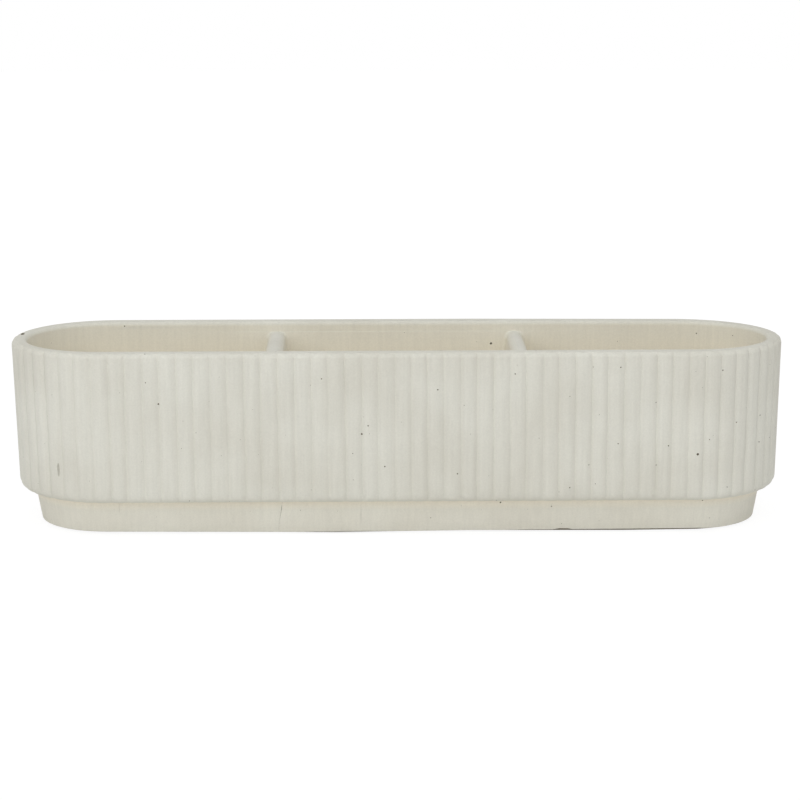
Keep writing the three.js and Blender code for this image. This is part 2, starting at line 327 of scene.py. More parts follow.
def turned(name: str, profile: Outline, x: float, y: float, steps: int = 64) -> Object:
    """Turns a profile of radius and height about an upright line.

    Args:
        name: the object's name.
        profile: radius and height of each point, from one end of the line to the other.
        x: where the line stands.
        y: where the line stands.
        steps: points round each ring.

    Returns:
        The solid, with its place in its mesh.
    """
    ways = [(math.cos(TURN * k / steps), math.sin(TURN * k / steps)) for k in range(steps)]
    rings = [[(x + radius * right, y + radius * back, z) for right, back in ways] for radius, z in profile]
    return linked(name, loft(name, rings))


def arc(x: float, y: float, radius: float, start: float, end: float, steps: int) -> Outline:
    """Lists points on an arc.

    Args:
        x: the centre.
        y: the centre.
        radius: the arc's radius.
        start: where it starts, in turns.
        end: where it ends, in turns.
        steps: how many equal steps it takes.

    Returns:
        The points, both ends among them.
    """
    angles = [TURN * (start + (end - start) * k / steps) for k in range(steps + 1)]
    return [(x + radius * math.cos(a), y + radius * math.sin(a)) for a in angles]


def quarter(steps: int) -> list[float]:
    """Lists the angles of a quarter turn in equal steps, both ends among them."""
    return [math.pi / 2 * k / steps for k in range(steps + 1)]


def stand_back(radius: float, depth: float) -> float:
    """Says how far a quarter round stands back from its line, at a depth below the line's end."""
    return radius - math.sqrt(max(radius**2 - depth**2, 0))


def cut(piece: Object, tools: Sequence[Object]) -> Object:
    """Cuts solids out of a piece.

    Args:
        piece: the piece, which is replaced.
        tools: the solids to cut out, which are removed.

    Returns:
        The cut piece as a plain object.
    """
    name = piece.name
    for tool in tools:
        modifier = piece.modifiers.new(tool.name, "BOOLEAN")
        modifier.operation = "DIFFERENCE"
        modifier.solver = "MANIFOLD"
        modifier.object = tool
    piece.name = name + "_uncut"
    made = flattened(name, piece)
    for tool in tools:
        bpy.data.objects.remove(tool)
    return made


def mark(mesh: Mesh, name: str, value: float) -> None:
    """Gives every face of a mesh the same value of an attribute."""
    mesh.attributes.new(name, "FLOAT", "FACE").data.foreach_set("value", [value] * len(mesh.polygons))


def add_wedge(work: bmesh.types.BMesh, rings: Rings, shade_and_stain: float) -> None:
    """Adds a skin over rings in millimetres, and the share of the dark hole colour (painted shade, or the
    stain of a streak) that its faces take, to a mesh in work.
    """
    wedge = loft("wedge", rings)
    mark(wedge, "hole", shade_and_stain)
    work.from_mesh(wedge)
    bpy.data.meshes.remove(wedge)


def dress(piece: Object, material: Material, sharp: float) -> None:
    """Gives a piece its one finish, and smooth shading but for edges sharper than an angle in degrees."""
    piece.data.materials.clear()
    piece.data.materials.append(material)
    piece.data.shade_smooth()
    piece.data.set_sharp_from_angle(angle=math.radians(sharp))


def hand_over(piece: Object, body: Body, slot: str, *nodes: str) -> None:
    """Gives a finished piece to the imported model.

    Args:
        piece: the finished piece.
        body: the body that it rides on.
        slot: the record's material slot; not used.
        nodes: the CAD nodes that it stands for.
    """
    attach(piece, body.value)
    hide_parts(*nodes)
    log.info("%s: %d faces, on %s", piece.name, len(piece.data.polygons), body.value)


# Finishes


@dataclass(frozen=True)
class CastConcrete:
    """Off-white glass-fibre concrete, cast in a smooth mould and left unsealed.

    The eye gets a matt, chalky face, cloudy between cream and cool grey, with a sandy grain and the
    small pinholes that air leaves against a mould.
    """

    cream: str = "#D6D5CB"
    grey: str = "#CFCDC2"
    # Painted warm light: a lighter, warmer tint that stands in for the warm bounce light inside the
    # compartments and under the wall's lip
    painted_warm_light: str = "#E6E0CF"
    # The dark hole colour: painted shade inside pits, chips, cracks and the foot's undercuts, and a stain in
    # one streak
    hole: str = "#6E6757"
    roughness: float = 0.88
    cloud_mm: float = 55.0
    cloud_span: tuple[float, float] = (0.35, 0.65)
    streak_mm: float = 2.2
    streak_squeeze: float = 0.05
    streak_levels: tuple[float, float] = (0.974, 1.023)
    grain_mm: float = 1.1
    grain_depth_mm: float = 0.05
    grain_levels: tuple[float, float] = (0.97, 1.025)
    grain_span: tuple[float, float] = (0.3, 0.7)

    def material(self) -> Material:
        """Builds the material."""
        made, tree, in_mm = start_material("cast_concrete")
        cloud = noise(tree, in_mm, self.cloud_mm, 4.0)
        mottle = add_node(tree, "ShaderNodeMapRange", [cloud, *self.cloud_span, 0.0, 1.0])
        base = blend(tree, mottle, self.cream, self.grey)
        # Blends in the painted warm light, then the dark hole colour, which is painted shade in pits, chips,
        # cracks and undercuts and a stain in one streak
        for name, colour in (("painted_warm_light", self.painted_warm_light), ("hole", self.hole)):
            share = add_node(tree, "ShaderNodeAttribute", attribute_name=name).outputs["Fac"]
            base = blend(tree, share, base, colour)
        squeeze = (1.0, 1.0, self.streak_squeeze)
        drawn = add_node(tree, "ShaderNodeVectorMath", [in_mm, squeeze], operation="MULTIPLY")
        streak = noise(tree, drawn, self.streak_mm, 2.0)
        drag = add_node(tree, "ShaderNodeMapRange", [streak, *self.grain_span, *self.streak_levels])
        grain = noise(tree, in_mm, self.grain_mm, 2.0)
        speckle = add_node(tree, "ShaderNodeMapRange", [grain, *self.grain_span, *self.grain_levels])
        speckle = add_node(tree, MATH, [speckle, drag], operation="MULTIPLY")
        base = add_node(tree, "ShaderNodeVectorMath", {0: base, 3: speckle}, operation="SCALE")
        sandy = bump(tree, grain, self.grain_depth_mm)
        end_material(tree, {"Base Color": base, "Roughness": self.roughness, "Normal": sandy})
        return made


@dataclass(frozen=True)
class MouldedRubber:
    """Grey natural rubber, moulded in a blasted tool.

    The eye gets a matt, slightly waxy face with a fine even grain.
    """

    colour: str = "#4B4C4A"
    worn: str = "#5A5A56"
    roughness: float = 0.68
    cloud_mm: float = 5.0
    grain_mm: float = 0.5
    grain_depth_mm: float = 0.04

    def material(self) -> Material:
        """Builds the material."""
        made, tree, in_mm = start_material("moulded_rubber")
        base = blend(tree, noise(tree, in_mm, self.cloud_mm, 4.0), self.colour, self.worn)
        grain = bump(tree, noise(tree, in_mm, self.grain_mm, 2.0), self.grain_depth_mm)
        end_material(tree, {"Base Color": base, "Roughness": self.roughness, "Normal": grain})
        return made


@dataclass(frozen=True)
class ClosedCellFoam:
    """Grey closed-cell foam, die-cut from sheet.

    The eye gets a dull face full of tiny cut cells.
    """

    colour: str = "#8B8A84"
    cell: str = "#6E6D68"
    roughness: float = 0.95
    cell_mm: float = 0.5
    cell_depth_mm: float = 0.1

    def material(self) -> Material:
        """Builds the material."""
        made, tree, in_mm = start_material("closed_cell_foam")
        cells = add_node(tree, "ShaderNodeTexVoronoi", {"Vector": in_mm, "Scale": 1 / self.cell_mm})
        height = cells.outputs["Distance"]
        base = blend(tree, height, self.cell, self.colour)
        pitted = bump(tree, height, self.cell_depth_mm)
        end_material(tree, {"Base Color": base, "Roughness": self.roughness, "Normal": pitted})
        return made


# The planter


@dataclass(frozen=True)
class Flaw:
    """A hole or chip in the finished casting, by its place as one looks at it.

    The place is x and height, or x and y from above. The sizes are half its width and half its
    height, and how deep it goes.
    """

    look: Look
    across: float
    up: float
    wide: float
    high: float | None = None
    deep: float | None = None
    # How much of the dark hole colour its faces take: painted shade in pits and chips, a stain in the streak
    shade_and_stain: float = 1.0


@dataclass(frozen=True)
class HairCrack:
    """A shrinkage crack in the foot: x, height and width of its points from the top down."""

    points: list[tuple[float, float, float]]
    deep: float = 0.5
    shade_and_stain: float = 0.5


@dataclass(frozen=True)
class ShadowUndercut:
    """A stretch of the foot's lower front edge, cut back and coloured dark, which paints the shadow line of
    the gap under the foot: x and height of its points.
    """

    points: Outline
    deep: float = 0.5
    # Its face takes the dark hole colour: a painted shadow of the gap under the foot
    shade_and_stain: float = 1.0


# Pinholes that stand out in the front, as measured on the photograph: x, height and radius
PINHOLES = [
    (189, 54, 0.78), (-23.5, 68, 0.6), (-151, 88, 0.57), (65, 20.6, 0.6),
    (62, 23.5, 0.45), (194.5, 21, 0.45), (97.7, 17.6, 0.4), (-9, 47, 0.46),
    (139, 110.5, 0.44), (37, 42, 0.46), (24.3, 96.7, 0.47), (108.3, 32.6, 0.42),
    (170.3, 59.6, 0.45), (72.8, 106.6, 0.42), (-19.5, 73.6, 0.45), (203.7, 107.7, 0.42),
    (138.4, 61.2, 0.42), (214, 73.2, 0.38), (196.3, 63.4, 0.34), (163, 46.8, 0.36),
    (209, 31.4, 0.36), (231, 75, 0.36), (231, 57.5, 0.36), (239.4, 58, 0.36),
    (-48.5, 104, 0.38), (161.8, 87.6, 0.36), (120.2, 47.3, 0.38),
]

# Pinholes and chips take the dark hole colour as painted shade; the shallow streak at x -215.8 takes it at
# 0.35 as a stain
FLAWS = [
    *(Flaw(Look.FRONT, x, z, radius) for x, z, radius in PINHOLES),
    Flaw(Look.FRONT, -215.8, 44, 0.8, 4.6, 0.5, shade_and_stain=0.35),
    Flaw(Look.DOWN, -158.8, -61.1, 0.36),
    Flaw(Look.DOWN, -244.4, 9.6, 1.2, 3.2, 0.8),
    Flaw(Look.INSIDE, 64, 104.7, 0.75),
    Flaw(Look.INSIDE, 202.3, 111.3, 0.46),
    Flaw(Look.INSIDE, -182, 117.4, 0.44),
]

CRACKS = [
    HairCrack([(-74.2, 22, 0.2), (-74.9, 17.5, 0.3), (-75.6, 12.5, 0.18), (-76.6, 8, 0.1), (-76.9, 2, 0.08)]),
    HairCrack([(-178.2, 21, 0.2), (-178.5, 15, 0.1)]),
    HairCrack([(-24, 20, 0.06), (-24.2, 13, 0.12), (-24.2, 5, 0.06)]),
]

SHADOW_UNDERCUTS = [
    ShadowUndercut(
        [(68, 0.1), (80, 0.5), (99, 0.6), (103, 1.3), (108, 1.3)]
        + [(112, 0.7), (145, 0.95), (192, 0.8), (204, 0.1)]
    ),
    ShadowUndercut([(-66, 0.1), (-52, 0.45), (-20, 0.55), (-2, 0.1)], shade_and_stain=0.8),
]

# How much higher than level the foot's lower edge is: x and rise
LOWER_EDGE = [(-250, 0.4), (-190, 0.75), (-40, -0.3), (45, 0.45), (145, 0.0), (205, 0.5), (250, 0.5)]


@dataclass
class AirHoles:
    """The small pinholes that trapped air leaves all over the casting."""

    per_square_metre: float = 1200.0
    apart: float = 8.0
    small: float = 0.17
    large: float = 0.36
    seed: int = 11

    def tree(self, values: dict[str, Any]) -> NodeTree:
        """Builds the Geometry Nodes tree that strews balls over a face, most of them small.

        Args:
            values: what its named inputs will get.

        Returns:
            The tree.
        """
        tree, given = geometry_tree("air_holes", values)
        spots = add_node(
            tree,
            "GeometryNodeDistributePointsOnFaces",
            {
                "Mesh": given["Geometry"],
                "Distance Min": given["Apart"],
                "Density Max": given["Density"],
                "Seed": given["Seed"],
            },
            distribute_method="POISSON",
        )
        chance = add_node(tree, "FunctionNodeRandomValue", {"Seed": given["Seed"]}, data_type="FLOAT")
        mostly_small = add_node(tree, MATH, [chance.outputs[1], 3.0], operation="POWER")
        size = add_node(tree, "ShaderNodeMapRange", [mostly_small, 0.0, 1.0, given["Small"], given["Large"]])
        ball = add_node(tree, "GeometryNodeMeshIcoSphere", {"Radius": 1.0, "Subdivisions": 2})
        inputs = {"Points": spots, "Instance": ball, "Scale": size}
        placed = add_node(tree, "GeometryNodeInstanceOnPoints", inputs)
        solid = add_node(tree, "GeometryNodeRealizeInstances", [placed])
        # The balls' faces carry the dark hole colour into the pits they cut: painted shade inside each
        # pinhole
        marked = add_node(
            tree,
            "GeometryNodeStoreNamedAttribute",
            {"Geometry": solid, "Name": "hole", "Value": 1.0},
            data_type="FLOAT",
            domain="FACE",
        )
        end_tree(tree, marked, given["Material"])
        return tree

    def build(self, face: Object, material: Material) -> Object:
        """Makes the balls to cut out of a piece.

        Args:
            face: the piece that they are strewn over.
            material: the piece's finish.

        Returns:
            The balls, as one object.
        """
        values = {
            "Density": self.per_square_metre,
            "Apart": self.apart * MM,
            "Small": self.small * MM,
            "Large": self.large * MM,
            "Seed": self.seed,
            "Material": material,
        }
        return evaluated("air_hole_balls", face.data.copy(), self.tree(values), values)


@dataclass
class Casting:
    """The one-piece casting: its ribbed outside, less its compartments and drain holes.

    Drafts are in degrees. The grooves fade over a stretch of the rim's rounding, also in degrees. Each of the
    painted light depths is a share of the painted warm light (a tint that stands in for warm bounce light),
    and the depth below the rim at which it is full.
    """

    length: float = 499.8
    depth: float = 127.1
    base: float = 0.85
    top: float = 120.0
    wall_draft: float = 1.3
    rim_rounding: float = 3.4
    rim_rings: tuple[float, ...] = (0.8, 5.5, 16.0)
    lower_rounding: float = 6.4
    foot_height: float = 21.8
    foot_recess: float = 10.0
    foot_draft: float = 9.5
    foot_rounding: float = 0.6
    foot_cove: float = 2.0
    hem: float = 3.0
    rib_pitch: float = 10.46
    rib_depth: float = 1.6
    rib_fullness: float = 2.6
    groove_softness: float = 0.1
    groove_start: float = 0.25
    groove_growth: float = 0.8
    groove_fade: tuple[float, float] = (40.0, 82.0)
    rib_drift: float = 0.029
    first_groove: float = -3.0
    rim_width: float = 12.2
    end_reach: float = 2.4
    inner_rounding: float = 2.8
    inner_draft: float = 2.0
    floor: float = 20.0
    floor_rounding: float = 14.0
    divider_offset: float = 80.0
    divider_shift: float = -0.35
    divider_thickness: float = 11.0
    left_divider_extra: float = 0.9
    divider_swell: float = 0.8
    swell_height: float = 8.0
    divider_drop: float = 6.8
    divider_crown: float = 5.7
    divider_flare: float = 1.0
    corner_rounding: float = 2.6
    drain_diameter: float = 14.0
    drain_chamfer: float = 1.2
    pocket_radius: float = 8.4
    pocket_depth: float = 0.35
    points_per_rib: int = 10
    corner_steps: int = 14
    end_steps: int = 72
    shallowest: float = 0.8
    deepest: float = 1.1
    unevenness: float = 0.35
    sway: float = 0.55
    sway_length: float = 24.0
    waviness: float = 0.15
    wave_length: float = 45.0
    lean: float = 0.006
    sag: float = 0.8
    sag_start: float = 50.0
    sag_length: float = 155.0
    settled_height: float = 6.0
    settled_blend: float = 5.0
    # Shares and depths of the painted warm light, a tint that stands in for bounce light inside and under the
    # wall's lip
    painted_light_depths: tuple[tuple[float, float], ...] = ((0.45, 3.0), (0.55, 26.0))
    rim_zone: float = 12.0
    painted_light_on_foot: float = 0.22
    painted_light_blend: float = 2.0
    seed: int = 7

    @property
    def straight_half(self) -> float:
        """Half the length of the planter's straight part."""
        return (self.length - self.depth) / 2

    @property
    def underside(self) -> float:
        """The height of the wall's underside, where the foot stands back."""
        return self.base + self.foot_height

    @property
    def crest(self) -> float:
        """The height of the cross walls' tops."""
        return self.top - self.divider_drop

    @property
    def end_drain(self) -> float:
        """How far the outer drain holes stand from the planter's middle."""
        inner_end = self.straight_half + self.depth / 2 - self.rim_width
        return (self.divider_offset + self.divider_thickness / 2 + inner_end) / 2

    def wall_half(self, z: float) -> float:
        """Half the depth over the ribs at a height on the wall."""
        return self.depth / 2 - math.tan(math.radians(self.wall_draft)) * (self.top - self.rim_rounding - z)

    def foot_half(self, z: float) -> float:
        """Half the depth of the foot at a height on it."""
        top_half = self.wall_half(self.underside + self.lower_rounding) - self.foot_recess
        return top_half - math.tan(math.radians(self.foot_draft)) * (self.underside - z)

    def outer_profile(self) -> list[tuple[float, float, float]]:
        """Lists half depth, height and share of the grooves, from under the foot to the rim's top."""
        flat_half = self.foot_half(self.base + self.foot_rounding) - self.foot_rounding
        rows: list[tuple[float, float, float]] = [(flat_half - self.hem, self.base, 0)]
        for turn in quarter(6):
            out = self.foot_rounding * math.sin(turn)
            rows.append((flat_half + out, self.base + self.foot_rounding * (1 - math.cos(turn)), 0))
        cove_start = self.underside - self.foot_cove
        for k in range(1, 5):
            z = self.base + self.foot_rounding + (cove_start - self.base - self.foot_rounding) * k / 4
            rows.append((self.foot_half(z), z, 0))
        foot_top = self.foot_half(self.underside)
        for turn in quarter(6)[1:]:
            out = self.foot_cove * (1 - math.cos(turn))
            rows.append((foot_top + out, cove_start + self.foot_cove * math.sin(turn), 0))
        lower = self.underside + self.lower_rounding
        for turn in quarter(6):
            half = self.wall_half(lower) - self.lower_rounding * (1 - math.sin(turn))
            share = self.groove_start + (1 - self.groove_start) * math.sin(turn) ** self.groove_growth
            rows.append((half, lower - self.lower_rounding * math.cos(turn), share))
        upper = self.top - self.rim_rounding
        for k in range(1, 11):
            z = lower + (upper - lower) * k / 10
            rows.append((self.wall_half(z), z, 1))
        fade_start, fade_end = self.groove_fade
        for turn in quarter(8)[1:]:
            half = self.depth / 2 - self.rim_rounding * (1 - math.cos(turn))
            fade = min(max((math.degrees(turn) - fade_start) / (fade_end - fade_start), 0), 1)
            rows.append((half, upper + self.rim_rounding * math.sin(turn), 1 - fade**2 * (3 - 2 * fade)))
        rim_half = self.depth / 2 - self.rim_rounding
        rows += [(rim_half - back, self.top, 0) for back in self.rim_rings]
        return rows

    def skin_tree(self, values: dict[str, Any]) -> NodeTree:
        """Builds the Geometry Nodes tree that bends ribbed rows round the planter's outline.

        Args:
            values: what its named inputs will get.

        Returns:
            The tree.
        """
        tree, given = geometry_tree("ribbed_skin", values)

        def add(kind: str, inputs: Any = (), **settings: Any) -> Node:
            """Adds a node to this tree."""
            return add_node(tree, kind, inputs, **settings)

        def calc(operation: str, *inputs: Any) -> Node:
            """Adds a step of arithmetic."""
            return add(MATH, inputs, operation=operation)

        def count(operation: str, *inputs: Any) -> Node:
            """Adds a step of arithmetic on whole numbers."""
            return add("FunctionNodeIntegerMath", inputs, operation=operation)

        profile, per_rib, straight = given["Geometry"], given["Points per Rib"], given["Straight Half"]
        rows = add("GeometryNodeAttributeDomainSize", [profile])
        columns = count("MULTIPLY", given["Ribs"], per_rib)
        grid = add("GeometryNodeMeshGrid", [1.0, 1.0, count("ADD", columns, 1), rows])
        index = add("GeometryNodeInputIndex")
        column, row = count("DIVIDE_FLOOR", index, rows), count("FLOORED_MODULO", index, rows)

        def in_row(value: Node, kind: str) -> Node:
            """Looks up a value of the profile's point in this row."""
            inputs = {"Geometry": profile, "Value": value, "Index": row}
            return add("GeometryNodeSampleIndex", inputs, data_type=kind)

        level = add("ShaderNodeSeparateXYZ", [in_row(add("GeometryNodeInputPosition"), "FLOAT_VECTOR")])
        half, height = level.outputs["X"], level.outputs["Z"]
        grooves = in_row(add("GeometryNodeInputNamedAttribute", ["grooves"], data_type="FLOAT"), "FLOAT")

        # How far round, and where in its rib, a column stands
        share = calc("DIVIDE", column, columns)
        swing = calc("SUBTRACT", calc("COSINE", calc("MULTIPLY", share, TURN)), 1.0)
        drift = calc("DIVIDE", calc("MULTIPLY", swing, given["Rib Drift"]), TURN)
        across = calc("FRACT", calc("DIVIDE", column, per_rib))
        rib = count("DIVIDE_FLOOR", column, per_rib)
        beside = [count("FLOORED_MODULO", groove, given["Ribs"]) for groove in (rib, count("ADD", rib, 1))]

        def per_groove(low: float, high: float, offset: int) -> Node:
            """A random number for each groove, blended across the rib between two of them."""
            seed = count("ADD", given["Seed"], offset)
            kind = "FunctionNodeRandomValue"
            left, right = [
                add(kind, {2: low, 3: high, "ID": groove, "Seed": seed}, data_type="FLOAT").outputs[1]
                for groove in beside
            ]
            return add("ShaderNodeMix", {0: across, 2: left, 3: right}, data_type="FLOAT")

        shift = calc("MULTIPLY", per_groove(-1.0, 1.0, 0), given["Unevenness"])
        line = calc("MULTIPLY_ADD", straight, 4.0, calc("MULTIPLY", given["Rib Line Radius"], TURN))
        along = calc("ADD", calc("MULTIPLY", calc("ADD", share, drift), line), given["First Groove"])
        along = calc("WRAP", calc("ADD", along, shift), line, 0.0)

        # The planter's middle line there, and the way out from it
        bend = calc("MULTIPLY", given["Rib Line Radius"], math.pi)
        right_end = calc("ADD", straight, bend)
        left_start = calc("MULTIPLY_ADD", straight, 2.0, right_end)
        left_end = calc("ADD", left_start, bend)

        def over(start: Any, end: Any, full: Any) -> Node:
            """Grows from nothing to its full size over a stretch of the way round."""
            return add("ShaderNodeMapRange", [along, start, end, 0.0, full])

        facing = calc("ADD", over(straight, right_end, math.pi), over(left_start, left_end, math.pi))
        out_x, out_y = calc("SINE", facing), calc("MULTIPLY", calc("COSINE", facing), -1.0)
        front_right = over(0.0, straight, straight)
        back = over(right_end, left_start, calc("MULTIPLY", straight, -2.0))
        middle_x = calc("ADD", calc("ADD", front_right, back), over(left_end, line, straight))

        # How far out the point stands
        from_crown = calc("ABSOLUTE", calc("MULTIPLY_ADD", across, 2.0, -1.0))
        rise = calc("SUBTRACT", 1.0, calc("POWER", from_crown, given["Rib Fullness"]))
        softening = calc("POWER", given["Groove Softness"], 2.0)
        rise = calc("SQRT", calc("MULTIPLY_ADD", rise, rise, softening))
        fall = calc("SUBTRACT", calc("SQRT", calc("ADD", softening, 1.0)), rise)
        depth = calc("MULTIPLY", per_groove(self.shallowest, self.deepest, 1), given["Rib Depth"])
        reach = calc("SUBTRACT", half, calc("MULTIPLY", fall, calc("MULTIPLY", depth, grooves)))
        plain_x = calc("MULTIPLY_ADD", out_x, half, middle_x)
        plain = add("ShaderNodeCombineXYZ", [plain_x, calc("MULTIPLY", out_y, half), height])
        swell = noise(tree, plain, self.wave_length * MM, 2.0)
        reach = calc("SUBTRACT", reach, calc("MULTIPLY", swell, given["Waviness"]))
        wander = noise(tree, plain, self.sway_length * MM, 1.0)
        sway = calc("MULTIPLY", calc("MULTIPLY_ADD", wander, 2.0, -1.0), given["Sway"])
        x = calc("MULTIPLY_ADD", out_x, reach, middle_x)
        x = calc("MULTIPLY_ADD", out_y, calc("MULTIPLY", sway, -1.0), x)
        x = calc("MULTIPLY_ADD", calc("SUBTRACT", given["Top"], height), given["Lean"], x)
        y = calc("MULTIPLY_ADD", out_x, sway, calc("MULTIPLY", out_y, reach))
        place = add("ShaderNodeCombineXYZ", [x, y, height])
        shaped = add("GeometryNodeSetPosition", {"Geometry": grid, "Position": place})
        joined = add("GeometryNodeMergeByDistance", {"Geometry": shaped, "Distance": 0.01 * MM})
        end_tree(tree, joined, given["Material"])
        return tree

    def skin(self, material: Material) -> Object:
        """Makes the casting's closed outside.

        Args:
            material: its finish.

        Returns:
            The outside as a plain closed mesh.
        """
        rows = self.outer_profile()
        line = bpy.data.meshes.new("casting_profile")
        points = [(half * MM, 0, z * MM) for half, z, _ in rows]
        line.from_pydata(points, [(k, k + 1) for k in range(len(rows) - 1)], [])
        grooves = line.attributes.new("grooves", "FLOAT", "POINT")
        grooves.data.foreach_set("value", [share for _, _, share in rows])
        radius = self.wall_half((self.top + self.underside) / 2) - self.rib_depth
        values = {
            "Straight Half": self.straight_half * MM,
            "Rib Line Radius": radius * MM,
            "Ribs": round((4 * self.straight_half + TURN * radius) / self.rib_pitch),
            "Points per Rib": self.points_per_rib,
            "Rib Depth": self.rib_depth * MM,
            "Rib Fullness": self.rib_fullness,
            "Groove Softness": self.groove_softness,
            "Rib Drift": self.rib_drift,
            "First Groove": self.first_groove * MM,
            "Unevenness": self.unevenness * MM,
            "Waviness": self.waviness * MM,
            "Sway": self.sway * MM,
            "Lean": self.lean,
            "Top": self.top * MM,
            "Seed": self.seed,
            "Material": material,
        }
        outside = evaluated("casting", line, self.skin_tree(values), values)
        repair(outside.data, fill=True)
        self.settle(outside.data)
        return outside

    def edge_rise(self, x: float) -> float:
        """How much higher than level the foot's lower edge is at a place along it."""
        along, rise = zip(*LOWER_EDGE)
        return float(np.interp(x, along, rise))

    def settle(self, mesh: Mesh) -> None:
        """Makes the foot's lower edge uneven, as it is where it was levelled by hand."""
        edge = self.foot_half(self.base + self.foot_rounding) - self.foot_rounding - 1
        level = self.base + self.settled_height
        for corner in mesh.vertices:
            x, y, z = corner.co / MM
            if z < level and math.hypot(max(abs(x) - self.straight_half, 0), y) > edge:
                share = min((level - z) / self.settled_blend, 1)
                corner.co.z += share * self.edge_rise(x) * MM

    def sink(self, mesh: Mesh) -> None:
        """Lets the back wall's right half sink a little, as it did while the concrete was soft."""
        for corner in mesh.vertices:
            x, y, z = corner.co / MM
            along = min(max((x - self.sag_start) / self.sag_length, 0), 1)
            across = min(max(y / (self.depth / 2), 0), 1)
            corner.co.z -= self.sag * along * across * z / self.top * MM

    def inner_half(self, z: float) -> float:
        """Half the depth of the inside at a height."""
        start = self.top - self.inner_rounding
        wall = self.depth / 2 - self.rim_width - math.tan(math.radians(self.inner_draft)) * max(start - z, 0)
        at_floor = stand_back(self.floor_rounding, max(self.floor + self.floor_rounding - z, 0))
        at_rim = stand_back(self.inner_rounding, min(max(z - start, 0), self.inner_rounding))
        return wall - at_floor + at_rim

    def divider_face(self, z: float) -> float:
        """How far a compartment's flat face stands from the middle of its cross wall at a height."""
        half = self.divider_thickness / 2
        start = self.crest - self.divider_crown
        if z <= start:
            at_floor = stand_back(self.floor_rounding, max(self.floor + self.floor_rounding - z, 0))
            swell = self.divider_swell * min((start - z) / self.swell_height, 1)
            return half + swell + math.tan(math.radians(self.inner_draft)) * (start - z) + at_floor
        if z <= self.crest:
            return half * math.sqrt(max(1 - ((z - start) / self.divider_crown) ** 2, 0))
        left = 1 - min((z - self.crest) / self.divider_flare, 1)
        return -(self.corner_rounding + 1) * math.sqrt(1 - left**2)

    def inner_levels(self) -> list[float]:
        """Lists the heights at which the inside's section turns, from the floor to past the rim."""
        wall_start, wall_end = self.floor + self.floor_rounding, self.crest - self.divider_crown
        levels = [wall_start + (wall_end - wall_start) * k / 8 for k in range(1, 8)]
        for turn in quarter(10):
            from_level, from_upright = 1 - math.cos(turn), math.sin(turn)
            levels.append(self.floor + self.floor_rounding * from_level)
            levels.append(wall_end + self.divider_crown * from_upright)
            levels.append(self.crest + self.divider_flare * from_level)
            levels.append(self.top - self.inner_rounding + self.inner_rounding * from_upright)
        levels.append(self.top + OVERSHOOT)
        levels.sort()
        return [z for k, z in enumerate(levels) if k == 0 or z - levels[k - 1] > SAME_LEVEL]

    def middle_outline(self, z: float) -> Outline:
        """Outlines the middle compartment at a height."""
        rounding = self.corner_rounding
        y = self.inner_half(z) - rounding
        x = self.divider_offset - self.divider_face(z) - rounding
        right, left = self.divider_shift + x, self.divider_shift - x + self.left_divider_extra
        corners = enumerate([(right, -y), (right, y), (left, y), (left, -y)])
        arcs = [arc(*corner, rounding, (k - 1) / 4, k / 4, self.corner_steps) for k, corner in corners]
        return [point for each in arcs for point in each]

    def end_outline(self, z: float, side: int) -> Outline:
        """Outlines an end compartment at a height, drawn as if it were the right one."""
        rounding = self.corner_rounding
        half = self.inner_half(z)
        y = half - rounding
        x = self.divider_offset + side * self.divider_shift + self.divider_face(z) + rounding
        return [
            *arc(x, -y, rounding, -1 / 2, -1 / 4, self.corner_steps),
            *arc(self.straight_half + self.end_reach, 0, half, -1 / 4, 1 / 4, self.end_steps),
            *arc(x, y, rounding, 1 / 4, 1 / 2, self.corner_steps),
        ]

    def compartment(self, name: str, outline_at: Callable[[float], Outline], side: int = 1) -> Object:
        """Makes the space of one compartment.

        Args:
            name: the object's name.
            outline_at: gives its outline at a height.
            side: -1 mirrors it to the other end.

        Returns:
            The space as a closed mesh.
        """
        rings = [[(side * x, y, z) for x, y in outline_at(z)] for z in self.inner_levels()]
        return linked(name, loft(name, rings))

    def drain(self, column: Column) -> Object:
        """Makes the space of one drain hole, with both its edges broken."""
        radius = self.drain_diameter / 2
        mouth = radius + self.drain_chamfer + OVERSHOOT
        profile = [
            (mouth, self.base - OVERSHOOT),
            (radius, self.base + self.drain_chamfer),
            (radius, self.floor - self.drain_chamfer),
            (mouth, self.floor + OVERSHOOT),
        ]
        return turned(f"{column.name.lower()}_drain", profile, column.value * self.end_drain, 0)

    def pocket(self, number: int, place: tuple[float, float]) -> Object:
        """Makes the space of the shallow pocket that a pad sits in."""
        levels = (self.base - OVERSHOOT, self.base + self.pocket_depth)
        return turned(f"pocket_{number}", [(self.pocket_radius, level) for level in levels], *place)

    def seen(self, surface: BVHTree, look: Look, across: float, up: float) -> Vector:
        """Says where one's eye meets the casting.

        Args:
            surface: the casting's faces.
            look: the way one looks at it.
            across: the place across the view, in millimetres.
            up: the place up the view.

        Returns:
            The place, in millimetres.
        """
        start, way = {
            Look.FRONT: ((across, -self.depth, up), (0, 1, 0)),
            Look.DOWN: ((across, up, 2 * self.top), (0, 0, -1)),
            Look.INSIDE: ((across, 0, up), (0, 1, 0)),
        }[look]
        place, _, _, _ = surface.ray_cast(Vector(start) * MM, Vector(way))
        return place / MM

